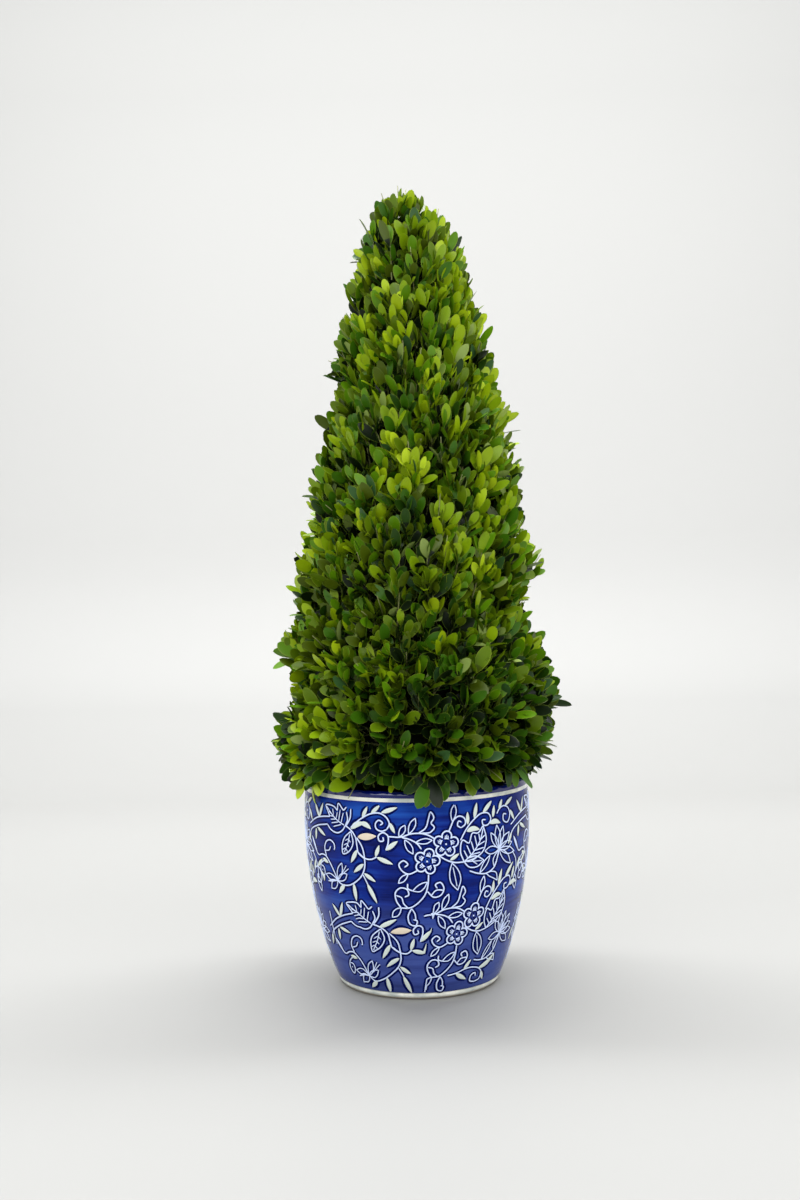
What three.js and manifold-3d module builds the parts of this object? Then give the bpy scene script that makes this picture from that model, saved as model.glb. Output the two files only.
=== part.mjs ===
// Boxwood cone topiary in a glazed blue-and-white pot.
// Millimetres, +Z up. The origin is the centre of the pot's flat underside.
//
// The pot is one thrown vessel, filled with potting mix. A short woody stem rises from the mix
// into the foliage, which is a clipped cone in three tiers. Each tier is one solid: a core, sprigs
// that stand out of it in rings, called courses, and leaves on each sprig in pairs and at its end.
import * as THREE from "three";
import { mergeVertices } from "three/addons/utils/BufferGeometryUtils.js";
import Module from "manifold-3d";

const wasm = await Module();
wasm.setup();

// ---- Driving dimensions ----
const POT_HEIGHT = 157;
const BELLY_RADIUS = 87.6; // the pot's widest radius, just under its rim
const BELLY_HEIGHT = 128;
const HEEL_RADIUS = 62.9; // where the wall meets the foot band
const TOP = 615; // tip of the topmost leaf
const SKIRT_RADIUS = 108; // the foliage's widest radius
const SKIRT_HEIGHT = 185;
const HEM_HEIGHT = 150; // the lowest leaf tips, which hang over the rim
const COURSES_BELOW_SEAM = [5, 9]; // how many courses of leaf tips lie below each seam between two tiers
const GAP = 0.3; // clearance between pieces that touch

// ---- Pot ----
const POT_SIDES = 40;
const WALL_THICKNESS = 6;
const WALL_FULLNESS = 0.83; // under 1 swells the lower wall, over 1 flattens it
const FOOT_BAND = 4.5; // height of the upright band at the foot
const FOOT_RADIUS = 61.2;
const FOOT_BEVEL = 1.2;
const LIP_RADIUS = WALL_THICKNESS / 2;
const BASE_THICKNESS = 8;
const WALL_RINGS = 7;

// ---- Potting mix and stem ----
const MIX_TOP = 141;
const MIX_SIDES = 28;
const MIX_RINGS = 4;
const MIX_CLEARANCE = 0.9; // between the mix and the pot's faceted wall
const STEM_SIDES = 12;
const STEM_TOP = 235;
const STEM_RADIUS = 8.5; // just above the root flare
const FLARE_RADIUS = 13;
const FLARE_MIDDLE_RADIUS = 9.9;
const FLARE_HEIGHT = 9;
const STEM_TIP_RADIUS = 5.5;

// ---- Foliage ----
const OGIVE = 0.47; // the power that rounds the cone: 1 is a straight cone, 0.5 a paraboloid
const UNDERCUT = 9; // how far the outline draws in from the skirt to the hem
const CORE_DEPTH = 22; // from the clipped outline in to the core
const CORE_SIDES = 20;
const CORE_FOOT = 153;
const CORE_FOOT_RADIUS = 58;
const CORE_TOP = TOP - 26;
const CORE_RING_STEP = 32;
const COURSE_STEP = 35.7; // spacing of the sprigs, up and along each course
const SUNK = 5; // how deep in the core a sprig is rooted
const ROOTED = 1.5; // how deep a leaf or side twig is rooted in its twig
const HANG = -52; // degrees that the sprigs stand above level at the hem
const RISE = 62; // and from the middle on
const CLOSE = 88; // and at the top
const HANG_REACH = 50; // height over which the hanging hem gives way to rising sprigs
const LEAN_SWING = 0.14; // radians that a sprig strays up or down
const HEADING_SWING = 0.25; // and to the side
const TWIG_RADIUS = 1.8;
const TWIG_TAPER = 0.75;
const FORK_BACK = 4; // how far behind the end leaf's root a sprig forks
const FORK_ANGLE = 0.6; // radians between a side twig and its sprig
const BRANCH_LENGTH = 9; // length of a side twig
const BRANCH_SPREAD = 0.6; // radians between its leaves and it
const LEAF_LENGTH = 32;
const LEAF_WIDTH = 19;
const LEAF_THICKNESS = 1.5;
const LEAF_WIDEST = 0.62; // how far along the blade it is widest
const LEAF_SPREAD = 0.85; // radians between a side leaf and its twig
const PRESSED = [1, 0.55, 0.2]; // shares of that angle that a leaf short of room tries in turn
const LIGHT_RISE = 0.5; // how far up the leaves face, for each unit that they face outwards
const FACE_SWING = 0.6; // radians that a leaf is turned about its own length
const HEM_DROOP = 9; // how far side leaves may hang below the hem
const RAGGED = 6; // how far the clipping leaves sprigs short of the outline
const SEAM = 0.7; // space kept on each side of the seam between two tiers
const SLIVER = 0.02; // steps finer than this are smoothed away where solids join
const CORE_SKIN = 1.5; // leaves keep this far off the core
const SEED = 31;
const AXIS_SPRIG = 9999; // the number of the sprig on the axis

const UP = new THREE.Vector3(0, 0, 1);

// ---- Helpers ----

// The seeded rule behind every irregularity: a value from 0 to 1 that depends only on its number.
function chance(number) {
  const x = Math.sin(number * 12.9898 + SEED) * 43758.5453;
  return x - Math.floor(x);
}

function swing(number, reach) {
  return (2 * chance(number) - 1) * reach;
}

// A turned solid about +Z from an outline of [radius, height] points, listed anticlockwise from the axis.
function turned(outline, sides) {
  const points = outline.map(([radius, height]) => new THREE.Vector2(radius, height));
  return new THREE.LatheGeometry(points, sides).rotateX(Math.PI / 2);
}

function solidOf(geometry) {
  const bare = geometry.index ? geometry.toNonIndexed() : geometry.clone();
  bare.deleteAttribute("normal");
  bare.deleteAttribute("uv");
  const merged = mergeVertices(bare, 1e-3);
  return new wasm.Manifold(
    new wasm.Mesh({
      numProp: 3,
      vertProperties: merged.attributes.position.array,
      triVerts: new Uint32Array(merged.index.array),
    }),
  );
}

function geometryOf(solid) {
  const mesh = solid.getMesh();
  return new THREE.BufferGeometry()
    .setAttribute("position", new THREE.BufferAttribute(mesh.vertProperties, 3))
    .setIndex(new THREE.BufferAttribute(mesh.triVerts, 1))
    .toNonIndexed();
}

function named(name, geometry, material) {
  geometry.computeVertexNormals();
  const mesh = new THREE.Mesh(geometry, material);
  mesh.name = name;
  return mesh;
}

// A closed solid from its corners and its triangles.
function facetedSolid(corners, triangles) {
  const positions = triangles.flat().flatMap((i) => corners[i].toArray());
  return solidOf(
    new THREE.BufferGeometry().setAttribute("position", new THREE.Float32BufferAttribute(positions, 3)),
  );
}

// ---- Pot: one thrown vessel with a rounded lip, a full wall and an upright foot band ----

// The outer wall swells quickly above the foot, is widest under the rim and then draws in a little.
function wallRadius(height) {
  const rise = (height - FOOT_BAND) / (BELLY_HEIGHT - FOOT_BAND);
  const swell = Math.sin((Math.PI / 2) * rise) ** WALL_FULLNESS;
  return HEEL_RADIUS + (BELLY_RADIUS - HEEL_RADIUS) * swell;
}

function innerRadius(height) {
  return wallRadius(height) - WALL_THICKNESS;
}

function heightsBetween(low, high, count) {
  return Array.from({ length: count + 1 }, (_, i) => low + ((high - low) * i) / count);
}

const LIP_CENTRE_HEIGHT = POT_HEIGHT - LIP_RADIUS;
const LIP_CENTRE_RADIUS = wallRadius(LIP_CENTRE_HEIGHT) - LIP_RADIUS;

function potOutline() {
  const outer = heightsBetween(FOOT_BAND, LIP_CENTRE_HEIGHT, WALL_RINGS).map((z) => [wallRadius(z), z]);
  const lip = [0.25, 0.5, 0.75].map((turn) => [
    LIP_CENTRE_RADIUS + LIP_RADIUS * Math.cos(turn * Math.PI),
    LIP_CENTRE_HEIGHT + LIP_RADIUS * Math.sin(turn * Math.PI),
  ]);
  const inner = heightsBetween(BASE_THICKNESS, LIP_CENTRE_HEIGHT, WALL_RINGS - 1)
    .reverse()
    .map((z) => [innerRadius(z), z]);
  return [
    [0, 0],
    [FOOT_RADIUS - FOOT_BEVEL, 0],
    [FOOT_RADIUS, FOOT_BEVEL],
    ...outer,
    ...lip,
    ...inner,
    [0, BASE_THICKNESS],
  ];
}

const potGlaze = new THREE.MeshStandardMaterial({ color: 0x1f3f9f, roughness: 0.18, metalness: 0 });
const pot = named("pot", turned(potOutline(), POT_SIDES), potGlaze);

// ---- Potting mix: fills the pot to just below its lip ----

function mixOutline() {
  const foot = BASE_THICKNESS + GAP;
  const side = heightsBetween(foot, MIX_TOP, MIX_RINGS).map((z) => [innerRadius(z) - MIX_CLEARANCE, z]);
  return [[0, foot], ...side, [0, MIX_TOP]];
}

const mixMaterial = new THREE.MeshStandardMaterial({ color: 0x33261b, roughness: 1, metalness: 0 });
const pottingMix = named("potting_mix", turned(mixOutline(), MIX_SIDES), mixMaterial);

// ---- Stem: flares at the mix, tapers, and ends inside the lowest tier ----

// The stem's outline, grown outwards by a clearance where it is used to cut its socket.
function stemOutline(clearance) {
  const foot = MIX_TOP + GAP;
  return [
    [0, foot - clearance],
    [FLARE_RADIUS + clearance, foot - clearance],
    [FLARE_MIDDLE_RADIUS + clearance, foot + FLARE_HEIGHT / 2],
    [STEM_RADIUS + clearance, foot + FLARE_HEIGHT],
    [STEM_TIP_RADIUS + clearance, STEM_TOP + clearance],
    [0, STEM_TOP + clearance],
  ];
}

const barkMaterial = new THREE.MeshStandardMaterial({ color: 0x6b5a45, roughness: 0.9, metalness: 0 });
const stem = named("stem", turned(stemOutline(0), STEM_SIDES), barkMaterial);

// ---- Foliage: the outline, and the rule that places its sprigs and leaves ----

// Radius of the clipped outline. It rounds over to the top and draws in below the skirt.
function outlineRadius(height) {
  if (height >= SKIRT_HEIGHT) {
    const left = Math.max(0, (TOP - height) / (TOP - SKIRT_HEIGHT));
    return SKIRT_RADIUS * left ** OGIVE;
  }
  const drop = (SKIRT_HEIGHT - height) / (SKIRT_HEIGHT - HEM_HEIGHT);
  return SKIRT_RADIUS - UNDERCUT * drop ** 1.5;
}

// The core keeps to one depth inside the outline, and narrows from the skirt down into the pot's mouth.
function coreRadius(height) {
  const widening = (height - CORE_FOOT) / (SKIRT_HEIGHT - CORE_FOOT);
  const foot = CORE_FOOT_RADIUS + (SKIRT_RADIUS - CORE_DEPTH - CORE_FOOT_RADIUS) * widening;
  return Math.max(1, Math.min(foot, outlineRadius(height) - CORE_DEPTH));
}

// Sprigs hang down over the pot at the hem, rise steeply from the middle on, and close up at the top.
function sprigElevation(height) {
  const hanging = Math.exp(-(height - HEM_HEIGHT) / HANG_REACH);
  const closing = ((height - HEM_HEIGHT) / (TOP - HEM_HEIGHT)) ** 8;
  return THREE.MathUtils.degToRad(RISE + (HANG - RISE) * hanging + (CLOSE - RISE) * closing);
}

// Heights of the courses: one for every step travelled up the outline.
function courseHeights(step) {
  const heights = [];
  const stride = 0.5;
  let travelled = step;
  for (let z = HEM_HEIGHT + 1; z < TOP - LEAF_LENGTH / 6; z += stride) {
    travelled += Math.hypot(stride, outlineRadius(z + stride) - outlineRadius(z));
    if (travelled >= step) {
      heights.push(z);
      travelled -= step;
    }
  }
  return heights;
}

// Where the leaf tips of one tier give way to those of the next: midway between two courses.
const courses = courseHeights(COURSE_STEP);
const TIER_BREAKS = COURSES_BELOW_SEAM.map((count) => (courses[count - 1] + courses[count]) / 2);

// The seam between two tiers: level through the core, then rising outwards as the sprigs there do.
function seamHeight(tipHeight, radius) {
  const inside = Math.min(CORE_DEPTH, outlineRadius(tipHeight) - radius);
  return tipHeight - inside * Math.tan(sprigElevation(tipHeight));
}

// True if a point is in the tier's own space: outside the core, inside the outline and clear of the seams.
function inSpace(point, tier) {
  const radius = Math.hypot(point.x, point.y);
  const outsideCore = radius > coreRadius(point.z) + CORE_SKIN || point.z > CORE_TOP;
  const belowTop = point.z < TOP + 0.01;
  const aboveHem = point.z > HEM_HEIGHT - HEM_DROOP;
  const withinSkirt = radius < SKIRT_RADIUS + 1;
  const aboveLow = tier === 0 || point.z > seamHeight(TIER_BREAKS[tier - 1], radius) + SEAM;
  const belowHigh = tier === TIER_BREAKS.length || point.z < seamHeight(TIER_BREAKS[tier], radius) - SEAM;
  return outsideCore && belowTop && aboveHem && withinSkirt && aboveLow && belowHigh;
}

// A three-sided twig that tapers from one point to another.
function twigSolid(from, to, radius) {
  const along = to.clone().sub(from).normalize();
  const side = new THREE.Vector3().crossVectors(along, UP).normalize();
  const front = new THREE.Vector3().crossVectors(side, along);
  const ring = (centre, size) =>
    [0, 1, 2].map((i) => {
      const angle = (2 * Math.PI * i) / 3;
      return centre
        .clone()
        .addScaledVector(side, size * Math.cos(angle))
        .addScaledVector(front, size * Math.sin(angle));
    });
  const corners = [...ring(from, radius), ...ring(to, radius * TWIG_TAPER)];
  const triangles = [
    [0, 1, 2],
    [3, 5, 4],
    [0, 3, 1],
    [1, 3, 4],
    [1, 4, 2],
    [2, 4, 5],
    [2, 5, 0],
    [0, 5, 3],
  ];
  return facetedSolid(corners, triangles);
}

// A boxwood leaf blade with six faces: narrow at its root, widest past its middle, with a raised midrib.
function leafCorners({ root, along, face, size }) {
  const across = new THREE.Vector3().crossVectors(face, along);
  const at = (length, width, height) =>
    root
      .clone()
      .addScaledVector(along, length * LEAF_LENGTH * size)
      .addScaledVector(across, width * LEAF_WIDTH * size)
      .addScaledVector(face, height);
  const outline = [at(0, 0, 0), at(LEAF_WIDEST, -0.5, 0), at(1, 0, 0), at(LEAF_WIDEST, 0.5, 0)];
  return [...outline, at(0.5, 0, LEAF_THICKNESS)];
}

function leafSolid(leaf) {
  const triangles = [
    [0, 1, 4],
    [1, 2, 4],
    [2, 3, 4],
    [3, 0, 4],
    [0, 3, 1],
    [1, 3, 2],
  ];
  return facetedSolid(leafCorners(leaf), triangles);
}

// A leaf on a twig. It leaves at an angle to the side and turns its face out and up to the light.
function leafOn(point, twig, turn, spread, number) {
  const side = new THREE.Vector3().crossVectors(twig, UP).normalize().applyAxisAngle(twig, turn);
  const along = twig.clone().multiplyScalar(Math.cos(spread)).addScaledVector(side, Math.sin(spread));
  const light = new THREE.Vector3(point.x, point.y, 0).normalize().addScaledVector(UP, LIGHT_RISE);
  const face = light
    .addScaledVector(along, -light.dot(along))
    .normalize()
    .applyAxisAngle(along, swing(number, FACE_SWING));
  const isEnd = spread === 0;
  const root = point.clone().addScaledVector(side, isEnd ? 0 : TWIG_RADIUS * 0.2);
  return { root, along, face, size: isEnd ? 1 : 1 - 0.2 * chance(number + 0.5) };
}

// Leaves press closer to their twig where they would leave the tier's space. One that still would is skipped.
function fittedLeaf(point, twig, turn, spread, number, tier) {
  for (const share of PRESSED) {
    const leaf = leafOn(point, twig, turn, spread * share, number);
    const [, left, tip, right] = leafCorners(leaf);
    if ([left, tip, right].every((corner) => inSpace(corner, tier))) return leaf;
  }
  return null;
}

// One sprig, from its tip in to its root in the core: a stem with a pair of leaves and an end leaf,
// and a side twig with two leaves of its own.
function sprig(height, azimuth, number) {
  const lean = height < TOP ? sprigElevation(height) + swing(number + 0.1, LEAN_SWING) : Math.PI / 2 - 0.01;
  const heading = azimuth + swing(number + 0.2, HEADING_SWING);
  const along = new THREE.Vector3(
    Math.cos(lean) * Math.cos(heading),
    Math.cos(lean) * Math.sin(heading),
    Math.sin(lean),
  );
  const reach = Math.max(0, outlineRadius(height) - RAGGED * chance(number + 0.3));
  const tip = new THREE.Vector3(reach * Math.cos(azimuth), reach * Math.sin(azimuth), height);
  const back = (length) => tip.clone().addScaledVector(along, -length);
  const isSunk = ({ x, y, z }) => Math.hypot(x, y) < coreRadius(z) - SUNK;
  let length = LEAF_LENGTH;
  while (length < 3 * LEAF_LENGTH && !isSunk(back(length))) length += 1;

  const end = back(LEAF_LENGTH - 1);
  const fork = back(LEAF_LENGTH + FORK_BACK);
  const turn = chance(number + 0.4) * Math.PI;
  const side = new THREE.Vector3().crossVectors(along, UP).normalize().applyAxisAngle(along, turn);
  const branch = along.clone().applyAxisAngle(side, FORK_ANGLE);
  const branchEnd = fork.clone().addScaledVector(branch, BRANCH_LENGTH);
  const branchRoot = branchEnd.clone().addScaledVector(branch, -ROOTED);
  return {
    height,
    fork,
    number,
    twigs: [
      { from: back(length), to: end },
      { from: fork.clone().addScaledVector(along, -ROOTED), to: branchEnd },
    ],
    leaves: [
      [back(LEAF_LENGTH + 2), along, turn, LEAF_SPREAD],
      [back(LEAF_LENGTH + 2), along, turn + Math.PI, LEAF_SPREAD],
      [back(LEAF_LENGTH), along, 0, 0],
      [branchRoot, branch, turn + Math.PI / 2, BRANCH_SPREAD],
      [branchRoot, branch, turn - Math.PI / 2, BRANCH_SPREAD],
    ],
  };
}

// The core of a tier: a turned solid between two heights, cut clear of the stem.
function coreSolid(low, high) {
  const rings = Math.max(2, Math.round((high - low) / CORE_RING_STEP));
  const side = heightsBetween(low, high, rings).map((z) => [coreRadius(z), z]);
  const core = solidOf(turned([[0, low], ...side, [0, high]], CORE_SIDES));
  return low < STEM_TOP ? core.subtract(solidOf(turned(stemOutline(GAP), STEM_SIDES))) : core;
}

// All sprigs, course by course. The topmost stands on the axis.
function allSprigs() {
  const rings = courses.flatMap((height, course) => {
    const count = Math.max(3, Math.round((2 * Math.PI * outlineRadius(height)) / COURSE_STEP));
    return Array.from({ length: count }, (_, k) => {
      const number = course * 100 + k;
      const place = k + (course % 2) / 2 + swing(number + 0.6, 0.25);
      return sprig(height + swing(number + 0.7, 4), (2 * Math.PI * place) / count, number);
    });
  });
  return [sprig(TOP, 0, AXIS_SPRIG), ...rings];
}

// The space over the pot's rim that stays clear of twigs and leaves.
const RIM_CLEARANCE = 1.5;
const potSpace = solidOf(
  turned(
    [
      [0, 0],
      [BELLY_RADIUS + RIM_CLEARANCE, 0],
      [BELLY_RADIUS + RIM_CLEARANCE, POT_HEIGHT + RIM_CLEARANCE],
      [0, POT_HEIGHT + RIM_CLEARANCE],
    ],
    POT_SIDES,
  ),
);

// The largest body of a solid. It leaves out loose scraps and fills any hollow that the joining sealed.
function largestBody(solid) {
  return solid.decompose().sort((a, b) => b.volume() - a.volume())[0];
}

// A sprig's twigs, with those of its leaves that cut through nothing near them.
function sprigSolid({ number, twigs, leaves }, tier, obstacles) {
  const isClear = (piece) => obstacles.every((solid) => solid.intersect(piece).isEmpty());
  const pieces = twigs.map(({ from, to }) => twigSolid(from, to, TWIG_RADIUS)).filter(isClear);
  if (pieces.length < twigs.length) return null;
  for (const [i, [point, twig, turn, spread]] of leaves.entries()) {
    const leaf = fittedLeaf(point, twig, turn, spread, number + 0.07 * i, tier);
    const blade = leaf && leafSolid(leaf);
    if (blade && isClear(blade)) {
      pieces.push(blade);
      obstacles.push(blade);
    }
  }
  return wasm.Manifold.union(pieces);
}

// The height where a tier's core ends.
function coreEnd(tier) {
  return tier < TIER_BREAKS.length ? seamHeight(TIER_BREAKS[tier], 0) : CORE_TOP;
}

const cores = [0, ...TIER_BREAKS].map((_, tier) => {
  const low = tier === 0 ? CORE_FOOT : coreEnd(tier - 1) + GAP / 2;
  return coreSolid(low, coreEnd(tier) - GAP / 2);
});

// One tier: its core with its sprigs, all fused into one solid. Nothing in it cuts through the tier below.
function tierSolid(tier, sprigs, tierBelow) {
  const others = [potSpace, ...cores.filter((_, i) => i !== tier), ...tierBelow];
  const placed = [];
  for (const item of sprigs) {
    const near = placed.filter(({ fork }) => fork.distanceTo(item.fork) < 3 * LEAF_LENGTH);
    const solid = sprigSolid(item, tier, [...others, ...near.map((sprig) => sprig.solid)]);
    if (solid) placed.push({ fork: item.fork, solid });
  }
  const joined = wasm.Manifold.union([cores[tier], ...placed.map(({ solid }) => solid)]);
  return largestBody(joined.simplify(SLIVER));
}

const foliageMaterial = new THREE.MeshStandardMaterial({ color: 0x4f7a1a, roughness: 0.55, metalness: 0 });
const TIER_NAMES = ["foliage_skirt", "foliage_middle", "foliage_crown"];
const sprigs = allSprigs();
const solids = [];
for (const tier of TIER_NAMES.keys()) {
  const [low, high] = [TIER_BREAKS[tier - 1] ?? 0, TIER_BREAKS[tier] ?? TOP + 1];
  const own = sprigs.filter(({ height }) => height >= low && height < high);
  solids.push(tierSolid(tier, own, solids.slice(-1)));
}
const tiers = TIER_NAMES.map((name, tier) => named(name, geometryOf(solids[tier]), foliageMaterial));

const topiary = new THREE.Group();
topiary.add(pot, pottingMix, stem, ...tiers);
export default topiary;
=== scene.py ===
import math

import bpy
import numpy as np
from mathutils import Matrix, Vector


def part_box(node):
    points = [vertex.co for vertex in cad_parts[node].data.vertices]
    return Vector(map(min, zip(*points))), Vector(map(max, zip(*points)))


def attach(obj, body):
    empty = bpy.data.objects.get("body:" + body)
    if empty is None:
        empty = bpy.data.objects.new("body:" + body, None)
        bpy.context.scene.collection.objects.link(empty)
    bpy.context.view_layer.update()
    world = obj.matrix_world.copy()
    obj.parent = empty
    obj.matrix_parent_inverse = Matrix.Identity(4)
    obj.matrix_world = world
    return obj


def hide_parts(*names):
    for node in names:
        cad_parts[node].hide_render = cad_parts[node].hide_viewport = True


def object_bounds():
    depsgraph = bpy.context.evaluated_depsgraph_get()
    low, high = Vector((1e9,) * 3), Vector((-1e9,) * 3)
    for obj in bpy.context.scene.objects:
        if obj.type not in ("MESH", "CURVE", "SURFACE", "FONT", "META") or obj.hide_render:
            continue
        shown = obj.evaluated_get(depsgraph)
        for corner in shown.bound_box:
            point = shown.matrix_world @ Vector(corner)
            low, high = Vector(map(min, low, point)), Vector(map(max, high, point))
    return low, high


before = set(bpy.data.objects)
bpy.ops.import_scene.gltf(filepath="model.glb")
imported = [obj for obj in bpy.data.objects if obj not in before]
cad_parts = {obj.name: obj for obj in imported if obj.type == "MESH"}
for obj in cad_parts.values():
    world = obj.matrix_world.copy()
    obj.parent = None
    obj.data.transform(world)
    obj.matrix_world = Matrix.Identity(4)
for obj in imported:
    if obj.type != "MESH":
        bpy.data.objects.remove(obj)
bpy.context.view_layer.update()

# ---- Camera ----
# A level view from the front at half the plant's height, from about a metre away, through a
# short telephoto lens. The camera is rolled a degree, so the pot stands a little askew.
whole_low, whole_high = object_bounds()
WHOLE_HEIGHT = whole_high.z - whole_low.z

# How far the camera stands aside, in metres, its distance and height in plant heights, and its
# roll in degrees.
CAMERA_ASIDE = -0.0104
CAMERA_AWAY, CAMERA_HEIGHT = 1.658, 0.4797
CAMERA_ROLL = 0.95

camera_data = bpy.data.cameras.new("camera")
camera_data.sensor_fit = "AUTO"
camera_data.sensor_width = 36
camera_data.lens = 39
camera = bpy.data.objects.new("camera", camera_data)
camera.location = (CAMERA_ASIDE, -CAMERA_AWAY * WHOLE_HEIGHT, CAMERA_HEIGHT * WHOLE_HEIGHT)
camera.rotation_euler = (math.radians(90), math.radians(CAMERA_ROLL), 0)
bpy.context.collection.objects.link(camera)
bpy.context.scene.camera = camera

# ---- Pot body ----
# One slip-cast stoneware vessel with a full round wall, a rolled lip and an upright foot band.
# The cobalt glaze is brushed on in level strokes as the pot turns on a wheel, so it streaks.
_, pot_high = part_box("pot")
MM = 0.001
BELLY_RADIUS = pot_high.x / MM
POT_HEIGHT = pot_high.z / MM
BELLY_HEIGHT = 128
HEEL_RADIUS = 62.9
WALL_FULLNESS = 0.83
WALL_THICKNESS = 6
LIP_RADIUS = 3
FOOT_BAND = 4.5
BASE_THICKNESS = 8
RIM_LINE = (149.6, 152.3)
POT_SIDES = 256


def linear(hex_colour):
    """An sRGB hex colour as the linear RGBA that a shader socket takes."""
    channels = [int(hex_colour[i : i + 2], 16) / 255 for i in (1, 3, 5)]
    curve = [c / 12.92 if c <= 0.04045 else ((c + 0.055) / 1.055) ** 2.4 for c in channels]
    return (*curve, 1)


def add_node(tree, kind, settings=None, links=None):
    """A shader node with its settings and its input links. A setting is a property or a socket."""
    node = tree.nodes.new(kind)
    for name, value in (settings or {}).items():
        if isinstance(name, str) and hasattr(node, name):
            setattr(node, name, value)
        else:
            node.inputs[name].default_value = value
    for name, output in (links or {}).items():
        tree.links.new(output, node.inputs[name])
    return node


def new_material(name, settings):
    """A material of one Principled shader, with constants on its sockets."""
    material = bpy.data.materials.new(name)
    material.use_nodes = True
    shader = material.node_tree.nodes["Principled BSDF"]
    for socket, value in settings.items():
        shader.inputs[socket].default_value = value
    return material, material.node_tree, shader


def plain(name, colour, settings):
    """A material of one plain colour."""
    return new_material(name, {"Base Color": linear(colour), **settings})[0]


def ramped(tree, factor, stops):
    """The colour, at a factor, of a ramp of (position, hex colour) stops."""
    ramp = add_node(tree, "ShaderNodeValToRGB", {}, {"Fac": factor})
    elements = ramp.color_ramp.elements
    elements.remove(elements[1])
    elements[0].position = stops[0][0]
    elements[0].color = linear(stops[0][1])
    for position, colour in stops[1:]:
        elements.new(position).color = linear(colour)
    return ramp.outputs["Color"]


def grained(name, settings, kind, grain, stops, stretch=None):
    """A material whose colour follows a grain, which a stretch draws out."""
    material, tree, shader = new_material(name, settings)
    place = add_node(tree, "ShaderNodeTexCoord").outputs["Object"]
    if stretch:
        place = add_node(tree, "ShaderNodeMapping", {"Scale": stretch}, {"Vector": place}).outputs[0]
    texture = add_node(tree, kind, grain, {"Vector": place})
    tree.links.new(ramped(tree, texture.outputs[0], stops), shader.inputs["Base Color"])
    return material


def mesh_piece(name, vertices, faces, materials, material_indices=None, smooth=True):
    """A mesh object made from its points (in mm) and its faces."""
    mesh = bpy.data.meshes.new(name)
    mesh.from_pydata((np.asarray(vertices) * MM).tolist(), [], faces)
    for material in materials:
        mesh.materials.append(material)
    if material_indices is not None:
        mesh.polygons.foreach_set("material_index", np.asarray(material_indices, np.int32))
    mesh.polygons.foreach_set("use_smooth", np.full(len(mesh.polygons), smooth))
    mesh.update()
    piece = bpy.data.objects.new(name, mesh)
    bpy.context.collection.objects.link(piece)
    return piece


def ring_faces(rows, sides):
    """The quads between rings of points, row over row."""
    pairs = [(k, (k + 1) % sides) for k in range(sides)]
    starts = range(0, rows * sides, sides)
    return [(s + a, s + b, s + b + sides, s + a + sides) for s in starts for a, b in pairs]


def repeated(template, size, count):
    """A template's faces, for each of so many copies of its points."""
    starts = range(0, size * count, size)
    return [tuple(first + v for v in face) for first in starts for face in template]


def wall_radius(height):
    """Radius of the pot's outer wall, in mm, at a height in mm."""
    rise = (height - FOOT_BAND) / (BELLY_HEIGHT - FOOT_BAND)
    swell = np.sin(math.pi / 2 * rise) ** WALL_FULLNESS
    return HEEL_RADIUS + (BELLY_RADIUS - HEEL_RADIUS) * swell


def turned(name, outline, bands, materials, sides=POT_SIDES):
    """A turned piece from (radius, height) points that start and end on the axis.
    Each gap between two points takes the material that its band number names."""
    angles = np.linspace(0, 2 * math.pi, sides, endpoint=False)
    ring = np.stack([np.sin(angles), -np.cos(angles)], 1)
    inner = outline[1:-1]
    vertices = [np.array([[0, 0, outline[0][1]]])]
    vertices += [np.column_stack([ring * r, np.full(sides, z)]) for r, z in inner]
    vertices += [np.array([[0, 0, outline[-1][1]]])]
    vertices = np.concatenate(vertices)
    last = len(vertices) - 1
    faces, marks = [], []
    for k in range(sides):
        nxt = (k + 1) % sides
        faces.append((0, 1 + nxt, 1 + k))
        marks.append(bands[0])
        for row in range(len(inner) - 1):
            a, b = 1 + row * sides, 1 + (row + 1) * sides
            faces.append((a + k, a + nxt, b + nxt, b + k))
            marks.append(bands[row + 1])
        a = 1 + (len(inner) - 1) * sides
        faces.append((a + k, a + nxt, last))
        marks.append(bands[-1])
    return mesh_piece(name, vertices, faces, materials, marks)


LIP_CENTRE = (wall_radius(POT_HEIGHT - LIP_RADIUS) - LIP_RADIUS, POT_HEIGHT - LIP_RADIUS)
GLAZE, SLIP, CLAY, LIP = 0, 1, 2, 3


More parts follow.
